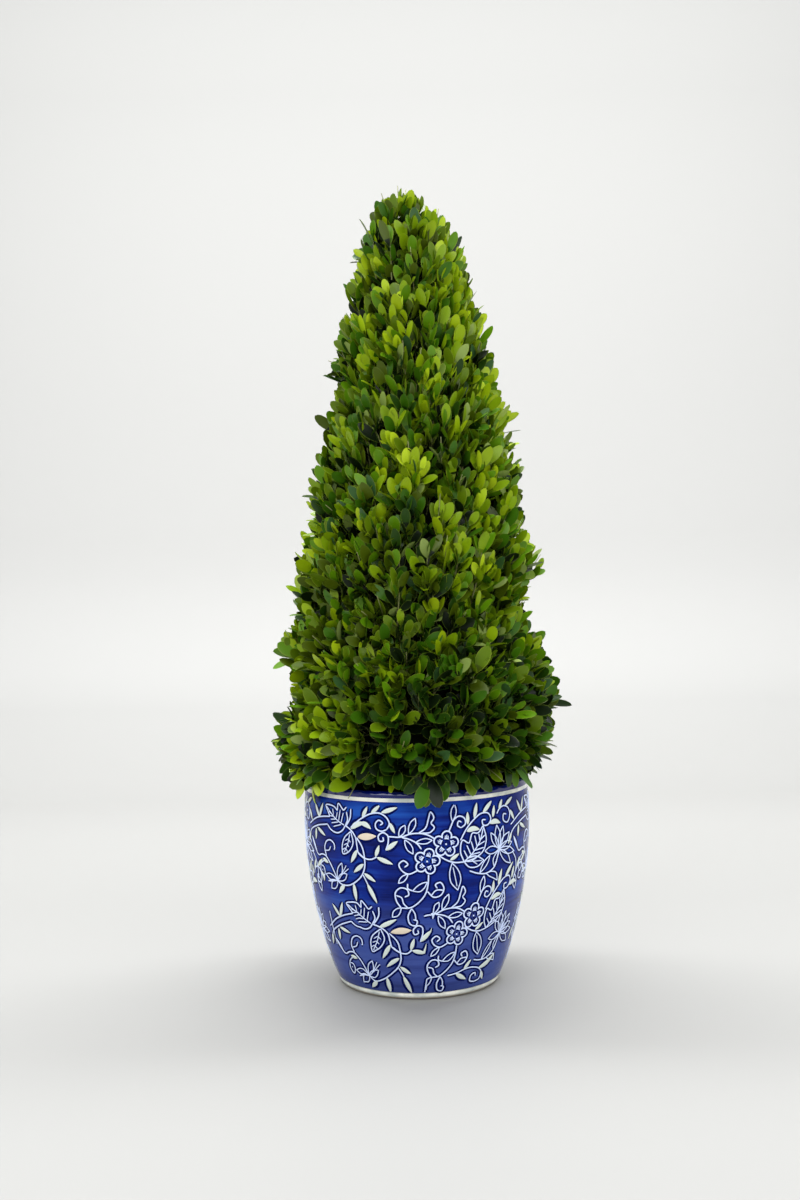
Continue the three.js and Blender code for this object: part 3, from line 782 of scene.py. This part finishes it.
def sprig_elevation(height):
    """How steeply the sprigs rise, in radians."""
    closing = (height - HEM_HEIGHT) / (TOP - HEM_HEIGHT)
    return np.radians(62 - 114 * np.exp(-(height - HEM_HEIGHT) / 50) + 26 * closing**8)


def course_step(height):
    """Distance between sprigs, which stand further apart toward the hem."""
    return COURSE_STEP * (1 + 0.2 * math.exp(-(height - HEM_HEIGHT) / 80))


def unit(vectors):
    return vectors / np.linalg.norm(vectors, axis=-1, keepdims=True)


def turned_about(vectors, axes, angles):
    """Vectors turned about unit axes by angles in radians."""
    cos, sin = np.cos(angles)[..., None], np.sin(angles)[..., None]
    along = np.sum(vectors * axes, -1, keepdims=True) * axes
    return vectors * cos + np.cross(axes, vectors) * sin + along * (1 - cos)


# The heart: dark old wood and moss, coloured near black as painted shadow that shows only deep between the
# leaves.
heart_material = grained(
    "foliage_heart_moss_and_shade",
    {"Roughness": 1.0, "IOR": 1.3},
    "ShaderNodeTexNoise",
    {"Scale": 240, "Detail": 5},
    [(0, "#050702"), (1, "#1a200e")],
)

heart_foot = skirt_low.z / MM
heart_heights = np.linspace(heart_foot, TOP - HEART_DEPTH, 60)
heart_outline = [(0, heart_foot)]
for z in heart_heights:
    narrowing = 58 + 1.1 * (z - heart_foot)
    heart_outline.append((max(2, min(narrowing, float(ogive_radius(z)) - HEART_DEPTH)), z))
heart_outline.append((0, float(heart_heights[-1]) + 1))
heart_bands = [0] * (len(heart_outline) - 1)
heart = turned("foliage_heart", heart_outline, heart_bands, [heart_material], sides=96)
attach(heart, "root")

# The sprigs' own numbers, course by course up the outline, and a tuft that closes the top.
course_heights = []
travelled = COURSE_STEP
STRIDE = 0.25
for z in np.arange(HEM_HEIGHT - 2, TOP - 4, STRIDE):
    travelled += math.hypot(STRIDE, float(ogive_radius(z + STRIDE) - ogive_radius(z)))
    if travelled >= course_step(z):
        course_heights.append(z)
        travelled -= course_step(z)
# Low at the front right the sprigs stand thinner, and the dark shows between them.
THIN_AZIMUTH, THIN_WIDTH = 0.7, 0.9
THIN_SHARE = 0.55
heights, azimuths, numbers = [], [], []
for course, z in enumerate(course_heights):
    count = max(3, round(2 * math.pi * float(ogive_radius(z)) / course_step(z)))
    for k in range(count):
        number = course * 100 + k
        spot = k + (course % 2) / 2 + float(swing(number + 0.6, 0.35))
        azimuth = 2 * math.pi * spot / count
        from_thin = math.remainder(azimuth - THIN_AZIMUTH, 2 * math.pi)
        thin = THIN_SHARE * math.exp(-((from_thin / THIN_WIDTH) ** 2) - (z - HEM_HEIGHT) / 60)
        if chance(number + 0.93) < thin:
            continue
        heights.append(z + float(swing(number + 0.7, COURSE_STEP * 0.45)))
        azimuths.append(azimuth)
        numbers.append(number)
TUFT_SPRIGS = 9
TUFT_NUMBER = 9000
TUFT_TURN = 2.4
for k in range(TUFT_SPRIGS):
    heights.append(TOP - 3 * k / TUFT_SPRIGS)
    azimuths.append(TUFT_TURN * k)
    numbers.append(TUFT_NUMBER + k)
# Strays that hang over the rim, as (azimuth in degrees, height of the tip).
STRAYS = [(4, 147), (11, 151), (24, 153), (50, 155), (-50, 151), (-62, 149), (110, 150), (165, 152)]
STRAYS += [(230, 149)]
STRAY_NUMBER = 9500
STRAY_LEAN = -1.3
for k, (azimuth, z) in enumerate(STRAYS):
    heights.append(z)
    azimuths.append(math.radians(azimuth))
    numbers.append(STRAY_NUMBER + k)
azimuths, numbers = np.array(azimuths), np.array(numbers, float)
heights = np.minimum(heights, TOP - 1)
is_stray = numbers >= STRAY_NUMBER
is_tuft = (numbers >= TUFT_NUMBER) & ~is_stray

reach = np.maximum(0, outline_radius(heights, azimuths) - RAGGED * chance(numbers + 0.3) ** 1.5)
reach[is_tuft] = np.linspace(0, 15, TUFT_SPRIGS)
reach[is_stray] = BELLY_RADIUS + 7
lean = np.where(is_stray, STRAY_LEAN, sprig_elevation(heights) + swing(numbers + 0.1, 0.26))
heading = azimuths + swing(numbers + 0.2, 0.34)
sprig_along = np.stack([np.cos(lean) * np.sin(heading), -np.cos(lean) * np.cos(heading), np.sin(lean)], 1)
sprig_tip = np.stack([reach * np.sin(azimuths), -reach * np.cos(azimuths), heights], 1)
sprig_tip[:, 0] += np.interp(heights, *zip(*LEAN))

# Side twigs fork off a little way back from most sprigs' tips, and lean out between them.
LEAF_LENGTH = 19
FORK_BACK = 34
FORK_ANGLE = 0.5
FORK_TURN = 6.28
FORK_LENGTH = 31
FORKED_SHARE = 0.6
forked = (chance(numbers + 0.44) < FORKED_SHARE) & (numbers < TUFT_NUMBER)
FORK_NUMBERS = 20000
fork_numbers = numbers[forked] + FORK_NUMBERS
fork_turns = FORK_TURN * chance(fork_numbers)
fork_axis = turned_about(unit(np.cross(sprig_along[forked], UP)), sprig_along[forked], fork_turns)
fork_along = turned_about(sprig_along[forked], fork_axis, FORK_ANGLE + swing(fork_numbers + 0.2, 0.15))
fork_tip = sprig_tip[forked] - sprig_along[forked] * FORK_BACK + fork_along * FORK_LENGTH

# ---- Leaves ----
# Boxwood leaves, 14 to 24 mm long and up to 31 mm at the hem: leathery, egg-shaped with the broad
# end outwards, folded a little along the midrib, with a thin pale margin and a waxy gloss.
LEAF_WIDTH = 8.2
MARGIN = 0.3
LEAF_TONES = {
    "lime": "#acc41e",
    "fresh": "#9ab212",
    "yellow_green": "#88a20a",
    "bright": "#769308",
    "green": "#547e07",
    "moss": "#566f07",
    "deep": "#355e07",
    "olive": "#435306",
    "dark": "#1f3b06",
    "shaded": "#0b1804",
    "blue_green": "#35572c",
    "underside": "#83974c",
}
leaf_look = {"Roughness": 0.34, "IOR": 1.45, "Specular IOR Level": 0.27}
leaf_materials = [plain(f"boxwood_leaf_{name}", colour, leaf_look) for name, colour in LEAF_TONES.items()]
margin_look = {"Roughness": 0.5, "IOR": 1.45, "Specular IOR Level": 0.3}
leaf_materials.append(plain("boxwood_leaf_margin", "#7f9128", margin_look))
leaf_materials.append(plain("boxwood_leaf_margin_dark", "#586c1e", margin_look))
MARGIN_TONE = len(LEAF_TONES)
DARK_MARGIN_FROM = 6
RARE_BLUE, RARE_UNDERSIDE = MARGIN_TONE - 2, MARGIN_TONE - 1
LAST_PLAIN_TONE = MARGIN_TONE - 3
RARE_SHARE = 0.02

# The blade: stations along it, each with its half width as a share of the widest. Each station
# has an edge, a margin line, the midrib, a margin line and an edge.
STATIONS = [(0.07, 0.08), (0.2, 0.42), (0.36, 0.76), (0.53, 0.97), (0.68, 1.0), (0.83, 0.83), (0.945, 0.48)]
COLUMNS = 5
FOOT_ROWS = 2
COLUMN_SIDES = np.array([-1, -1, 0, 1, 1])
COLUMN_INSETS = np.array([0, 1, 0, 1, 0])


def leaf_template():
    """The blade's points as (along, across, margin inset), and its faces with marks on margin and foot."""
    points = [(0.0, 0.0, 0.0)]
    for t, half in STATIONS:
        points += [(t, side * half, inset * side) for side, inset in zip(COLUMN_SIDES, COLUMN_INSETS)]
    points.append((1.0, 0.0, 0.0))
    last = len(points) - 1
    faces, is_margin, is_foot = [], [], []
    for k in range(COLUMNS - 1):
        faces.append((0, 2 + k, 1 + k))
        is_margin.append(False)
        is_foot.append(True)
    for row in range(len(STATIONS) - 1):
        a, b = 1 + COLUMNS * row, 1 + COLUMNS * (row + 1)
        for k in range(COLUMNS - 1):
            faces.append((a + k, a + k + 1, b + k + 1, b + k))
            is_margin.append(k in (0, COLUMNS - 2))
            is_foot.append(row < FOOT_ROWS)
    a = last - COLUMNS
    for k in range(COLUMNS - 1):
        faces.append((a + k, a + k + 1, last))
        is_margin.append(False)
        is_foot.append(False)
    return np.array(points), faces, np.array(is_margin), np.array(is_foot)


def leaf_frames(points, twigs, turns, spreads, keys):
    """Leaf directions at points on twigs. Each leaves its twig at an angle and turns to the light."""
    sides = turned_about(unit(np.cross(twigs, UP)), twigs, turns)
    along = unit(twigs * np.cos(spreads)[:, None] + sides * np.sin(spreads)[:, None])
    light = unit(points * [1, 1, 0] + 1e-6) + UP * 0.55
    face = unit(light - np.sum(light * along, -1, keepdims=True) * along)
    natural = unit(twigs - np.sum(twigs * along, -1, keepdims=True) * along + 1e-9)
    hangs = (keys >= STRAY_NUMBER) & (keys < FORK_NUMBERS)
    to_light = np.where(hangs, 1.0, 0.58 + swing(keys + 0.05, 0.3))[:, None]
    face = unit(face * to_light + natural * (1.15 - to_light) * ~hangs[:, None])
    face = unit(face - np.sum(face * along, -1, keepdims=True) * along)
    return along, turned_about(face, along, swing(keys, 1.0) * np.where(hangs, 0.5, 1.0))


def leaf_size(keys, heights):
    """Each leaf's length as a share of LEAF_LENGTH: the oldest leaves, at the hem, are the largest."""
    age = 1 + 0.3 * np.exp(-np.maximum(0, heights - HEM_HEIGHT) / 70)
    return (0.72 + 0.52 * chance(keys + 0.61)) * age


def leaves_of(tips, twigs, sprig_numbers, sprig_ids, levels):
    """The leaves of a set of twigs: one at the tip, then opposite pairs that spread more further back."""
    found = []
    turn0 = chance(sprig_numbers + 0.4) * math.pi
    closing = 1 - 0.35 * np.clip((tips[:, 2] - 230) / 250, 0, 1)
    for level, (back, count) in enumerate(levels):
        for which in range(count):
            keys = sprig_numbers + 0.013 * (level * 2 + which) + 0.001
            if count == 1:
                away = LEAF_LENGTH * leaf_size(keys, tips[:, 2])
                spreads = 0.05 + swing(keys + 0.45, 0.2)
            else:
                away = back + LEAF_LENGTH * 0.9 + swing(keys + 0.21, 1.2)
                spreads = (0.48 + 0.1 * level + swing(keys + 0.45, 0.24)) * closing
            points = tips - twigs * away[:, None]
            turns = turn0 + math.pi / 2 * level + math.pi * which + swing(keys + 0.33, 0.4)
            along, face = leaf_frames(points, twigs, turns, spreads, keys + 0.57)
            depth = np.full(len(keys), float(back))
            found.append((points, along, face, keys, sprig_ids, depth, leaf_size(keys, tips[:, 2])))
    return [np.concatenate(column) for column in zip(*found)]


PAIRS = [(0.0, 1), (3.5, 2), (8.5, 2), (14.5, 2)]
FORK_PAIRS = [(0.0, 1), (3.0, 2), (8.0, 2)]
sprig_ids = np.arange(len(numbers))
main_leaves = leaves_of(sprig_tip, sprig_along, numbers, sprig_ids, PAIRS)
fork_leaves = leaves_of(fork_tip, fork_along, fork_numbers, sprig_ids[forked], FORK_PAIRS)
leaves = [np.concatenate(pair) for pair in zip(main_leaves, fork_leaves)]
leaf_ends = leaves[0] + leaves[1] * (LEAF_LENGTH * leaves[6])[:, None]


def clear_of_pot(points):
    """True where a point lies over the lip or outside the wall."""
    radius = np.linalg.norm(points[:, :2], axis=1)
    return (points[:, 2] > POT_HEIGHT + 2) | (radius > BELLY_RADIUS + 2)


# How low the leaves reach round the hem, as (azimuth in degrees, height of the lowest tips): cut
# short at the front right, where the dark under the crown shows. Only the strays hang lower.
HEM_LINE = [(-180, 150), (-90, 145), (-60, 151), (-30, 156), (0, 158), (20, 163), (50, 166), (80, 157)]
HEM_LINE += [(180, 150)]
RAGGED_HEM = 3
azimuth_of_end = np.degrees(np.arctan2(leaf_ends[:, 0], -leaf_ends[:, 1]))
hem_line = np.interp(azimuth_of_end, *zip(*HEM_LINE)) + swing(leaves[3] + 0.39, RAGGED_HEM)
on_stray = (leaves[3] >= STRAY_NUMBER) & (leaves[3] < FORK_NUMBERS)
kept = clear_of_pot(leaves[0]) & clear_of_pot(leaf_ends) & clear_of_pot((leaves[0] + leaf_ends) / 2)
kept &= (leaf_ends[:, 2] > hem_line) | on_stray
kept &= leaf_ends[:, 2] < TOP + 5
leaves = [column[kept] for column in leaves]
leaf_roots, leaf_alongs, leaf_faces, leaf_keys, leaf_sprigs, leaf_depths, leaf_sizes = leaves

# Each leaf has its own width, fold and curl.
template, template_faces, margin_faces, foot_faces = leaf_template()
leaf_across = np.cross(leaf_faces, leaf_alongs)
lengths = LEAF_LENGTH * leaf_sizes
slimness = 0.06 * np.clip((leaf_roots[:, 2] - HEM_HEIGHT) / 150, 0, 1)
widths = LEAF_WIDTH * (0.35 + 0.65 * leaf_sizes) * (0.84 + 0.3 * chance(leaf_keys + 0.71) - slimness)
fold = np.tan(np.radians(7 + 18 * chance(leaf_keys + 0.81)))
curl = swing(leaf_keys + 0.91, 0.09) - 0.03
x = template[None, :, 0] * lengths[:, None]
y = template[None, :, 1] * widths[:, None] / 2 - MARGIN * template[None, :, 2]
cup = 0.02 * y**2
z = fold[:, None] * np.abs(y) - cup + (curl * lengths)[:, None] * template[None, :, 0] ** 2
leaf_vertices = (
    leaf_roots[:, None, :]
    + leaf_alongs[:, None, :] * x[..., None]
    + leaf_across[:, None, :] * y[..., None]
    + leaf_faces[:, None, :] * z[..., None]
)

# Tones are dealt out by sprig, in patches a few centimetres across, with a change from leaf to leaf. Leaves
# further back on their twigs are darker, as painted shade, most of all near the hem. The tones are also
# darker low on the right, and lighter low on the left, high on the right and on the strays.
sprig_patch = (
    np.sin(azimuths * 3 + heights * 0.021)
    + np.sin(azimuths * 5 - heights * 0.043 + 1.3)
    + np.sin(azimuths * 8 + heights * 0.067 + 0.6)
) / 3
height_share = (heights - HEM_HEIGHT) / (TOP - HEM_HEIGHT)
LEFT_TONES = [(0, -0.36), (0.12, -0.28), (0.3, -0.14), (0.6, 0.05), (1, 0)]
RIGHT_TONES = [(0, 0.22), (0.15, 0.26), (0.3, -0.08), (0.5, -0.24), (1, -0.18)]
front_share = np.cos(azimuths / 2) ** 2
sprig_tone = 0.5 - 0.26 * sprig_patch + swing(numbers + 0.5, 0.3)
tone_by_height = 0.16 - 0.27 * np.minimum(1, height_share * 1.7)
tone_by_height += 0.02 * np.clip((height_share - 0.75) / 0.15, 0, 1)
sprig_tone += tone_by_height
sprig_tone += np.interp(height_share, *zip(*LEFT_TONES)) * np.maximum(0, -np.sin(azimuths)) * front_share
sprig_tone += np.interp(height_share, *zip(*RIGHT_TONES)) * np.maximum(0, np.sin(azimuths)) * front_share
leaf_tone = sprig_tone[leaf_sprigs] + swing(leaf_keys + 0.17, 0.22)
# Painted shade: the further back along its twig a leaf sits, the darker its tone, more so near the hem.
leaf_tone += leaf_depths * (0.038 + 0.03 * np.exp(-np.maximum(0, leaf_roots[:, 2] - HEM_HEIGHT) / 60))
leaf_tone -= 0.16 * on_stray[kept]
# The end leaf and the first pair of a twig are never of the darkest tone, the painted shade of leaves
# deeper in.
OUTER_DEPTH = 4
TONE_STEPS = np.array([0.03, 0.14, 0.3, 0.44, 0.58, 0.7, 0.82, 0.94, 1.06])
tones = np.searchsorted(TONE_STEPS, leaf_tone)
tones = np.where(leaf_depths < OUTER_DEPTH, np.minimum(tones, LAST_PLAIN_TONE - 1), tones)
# Painted shade: the foot of each blade, next to the twig, takes a tone two steps darker.
painted_shade_foot_tones = np.minimum(tones + 2, LAST_PLAIN_TONE)
# The darker tones, painted shade among them, take the darker margin.
margin_tones = MARGIN_TONE + ((tones >= DARK_MARGIN_FROM) & (tones <= LAST_PLAIN_TONE))
rare = chance(leaf_keys + 0.27)
tones = np.where(rare < RARE_SHARE, RARE_BLUE, tones)
tones = np.where(rare > 1 - RARE_SHARE, RARE_UNDERSIDE, tones)
painted_shade_foot_tones = np.where(tones >= RARE_BLUE, tones, painted_shade_foot_tones)

PIECE_LEAVES = 3400
tier_nodes = ["foliage_skirt", "foliage_middle", "foliage_crown"]
tier_tops = [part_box(node)[1].z / MM for node in tier_nodes[:2]]
tier_of_leaf = np.searchsorted(tier_tops, leaf_roots[:, 2] + LEAF_LENGTH * 0.8)
for tier, node in enumerate(tier_nodes):
    own = np.flatnonzero(tier_of_leaf == tier)
    parts = np.array_split(own, math.ceil(len(own) / PIECE_LEAVES))
    for part_number, part in enumerate(parts):
        faces = repeated(template_faces, len(template), len(part))
        blade_marks = np.where(foot_faces[None, :], painted_shade_foot_tones[part][:, None], tones[part][:, None])
        marks = np.where(margin_faces[None, :], margin_tones[part][:, None], blade_marks).reshape(-1)
        vertices = leaf_vertices[part].reshape(-1, 3)
        piece = mesh_piece(f"{node}_leaves_{part_number + 1}", vertices, faces, leaf_materials, marks)
        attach(piece, "root")
        if part_number == 0:
            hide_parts(node)

# ---- Twigs ----
# The sprigs' own stems and their forks: thin and stiff, yellow-green at the tip, grey-brown
# inside. A few have lost their end leaves to the shears and stand out bare.
twig_material = plain("boxwood_twig_green", "#767a48", {"Roughness": 0.6, "IOR": 1.45})
TWIG_RADIUS = 0.75
TWIG_SIDES = 5
TWIG_ROWS = 4
SPRIG_LENGTH = 46
BARE_SHARE, BARE_STUB = 0.05, 4.0


def twig_set(tips, alongs, keys, length):
    """Tapered twigs that end among their end leaves, or past them where they are bare."""
    side = unit(np.cross(alongs, UP))
    front = np.cross(side, alongs)
    end = np.where(chance(keys + 0.77) < BARE_SHARE, -BARE_STUB, LEAF_LENGTH * 0.85)
    rings = []
    for row in range(TWIG_ROWS + 1):
        share = row / TWIG_ROWS
        centre = tips - alongs * (length - share * (length - end))[:, None]
        radius = TWIG_RADIUS * (1 - 0.6 * share)
        for k in range(TWIG_SIDES):
            angle = 2 * math.pi * k / TWIG_SIDES
            rings.append(centre + radius * (math.cos(angle) * side + math.sin(angle) * front))
    kept = clear_of_pot(tips - alongs * LEAF_LENGTH) & clear_of_pot(tips)
    return np.stack(rings, 1)[kept]


sprig_twigs = twig_set(sprig_tip, sprig_along, numbers, SPRIG_LENGTH)
fork_twigs = twig_set(fork_tip, fork_along, fork_numbers, FORK_LENGTH)
twig_vertices = np.concatenate([sprig_twigs, fork_twigs])
twig_template = ring_faces(TWIG_ROWS, TWIG_SIDES)
twig_template.append(tuple(TWIG_ROWS * TWIG_SIDES + k for k in range(TWIG_SIDES)))
twig_faces = repeated(twig_template, twig_vertices.shape[1], len(twig_vertices))
twigs = mesh_piece("foliage_twigs", twig_vertices.reshape(-1, 3), twig_faces, [twig_material])
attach(twigs, "root")

# ---- Floor, backdrop and light ----
# A plain pale floor that runs up into a pale backdrop. A softbox overhead and a little behind
# throws a short shadow forward, two in front fill in, and one washes the backdrop.
floor_material, tree, shader = new_material("studio_paint_matt", {"Roughness": 0.6})
place = add_node(tree, "ShaderNodeTexCoord").outputs["Object"]
axes = add_node(tree, "ShaderNodeSeparateXYZ", {}, {"Vector": place})
run = add_node(tree, "ShaderNodeMath", {"operation": "ADD"}, {0: axes.outputs["Y"], 1: axes.outputs["Z"]})
# Painted in shades as (metres back and up, colour), palest where the sweep turns from the light.
PAINT = [(0.25, "#929290"), (0.65, "#989896"), (1.3, "#9b9b99"), (1.7, "#b3b3b1"), (1.95, "#ababa9")]
PAINT += [(2.5, "#9a9a98")]
PAINT_REACH = 3.0
shades = [(distance / PAINT_REACH, colour) for distance, colour in PAINT]
share = add_node(tree, "ShaderNodeMapRange", {"From Max": PAINT_REACH}, {"Value": run.outputs["Value"]})
tree.links.new(ramped(tree, share.outputs["Result"], shades), shader.inputs["Base Color"])
FLOOR_REACH, FLOOR_DEPTH, SWEEP, BACKDROP_HEIGHT = 3000, 900, 400, 3500
profile = [(-FLOOR_REACH, 0), (FLOOR_DEPTH, 0)]
for angle in np.linspace(0.1, math.pi / 2, 12):
    profile.append((FLOOR_DEPTH + SWEEP * math.sin(angle), SWEEP * (1 - math.cos(angle))))
profile.append((FLOOR_DEPTH + SWEEP, BACKDROP_HEIGHT))
floor_vertices = [(x, y, z) for y, z in profile for x in (-FLOOR_REACH, FLOOR_REACH)]
floor_faces = [(2 * i, 2 * i + 1, 2 * i + 3, 2 * i + 2) for i in range(len(profile) - 1)]
floor = mesh_piece("studio_floor", floor_vertices, floor_faces, [floor_material])


def soft_light(name, place, target, size, power):
    """A rectangular softbox at a place, in metres, that faces a target."""
    data = bpy.data.lights.new(name, "AREA")
    data.shape = "RECTANGLE"
    data.size, data.size_y = size
    data.energy = power
    light = bpy.data.objects.new(name, data)
    light.location = place
    direction = np.array(target) - np.array(place)
    light.rotation_euler = (
        math.acos(-direction[2] / np.linalg.norm(direction)),
        0,
        math.atan2(direction[0], -direction[1]) + math.pi,
    )
    bpy.context.collection.objects.link(light)


soft_light("top_light", (0, 0.45, 1.95), (0, -0.1, 0), (2.6, 0.4), 82)
soft_light("key_light", (-0.9, -1.7, 1.4), (0, 0, 0.3), (1.6, 1.4), 26)
soft_light("fill_light", (1.1, -1.6, 1.1), (0, 0, 0.3), (1.8, 1.4), 18)
soft_light("backdrop_light", (0.2, 0.3, 2.6), (0.2, 1.3, 0.6), (3.0, 0.4), 12)

# The room: bright above, beside and behind, dim behind the camera.
world = bpy.data.worlds.new("studio")
world.use_nodes = True
world_tree = world.node_tree
direction = add_node(world_tree, "ShaderNodeTexCoord").outputs["Generated"]
axes = add_node(world_tree, "ShaderNodeSeparateXYZ", {}, {"Vector": direction})
span = {"From Min": -1.0, "From Max": 0.6}
shifted = add_node(world_tree, "ShaderNodeMapRange", span, {"Value": axes.outputs["Y"]})
ramp = add_node(world_tree, "ShaderNodeValToRGB", {}, {"Fac": shifted.outputs["Result"]})
ramp.color_ramp.elements[0].color = (0.45, 0.46, 0.48, 1)
ramp.color_ramp.elements[1].color = (0.85, 0.86, 0.9, 1)
ramp.color_ramp.elements.new(0.55).color = (1.1, 1.1, 1.12, 1)
world_tree.links.new(ramp.outputs["Color"], world_tree.nodes["Background"].inputs["Color"])
world_tree.nodes["Background"].inputs["Strength"].default_value = 0.9
bpy.context.scene.world = world
bpy.context.scene.view_settings.view_transform = "Standard"
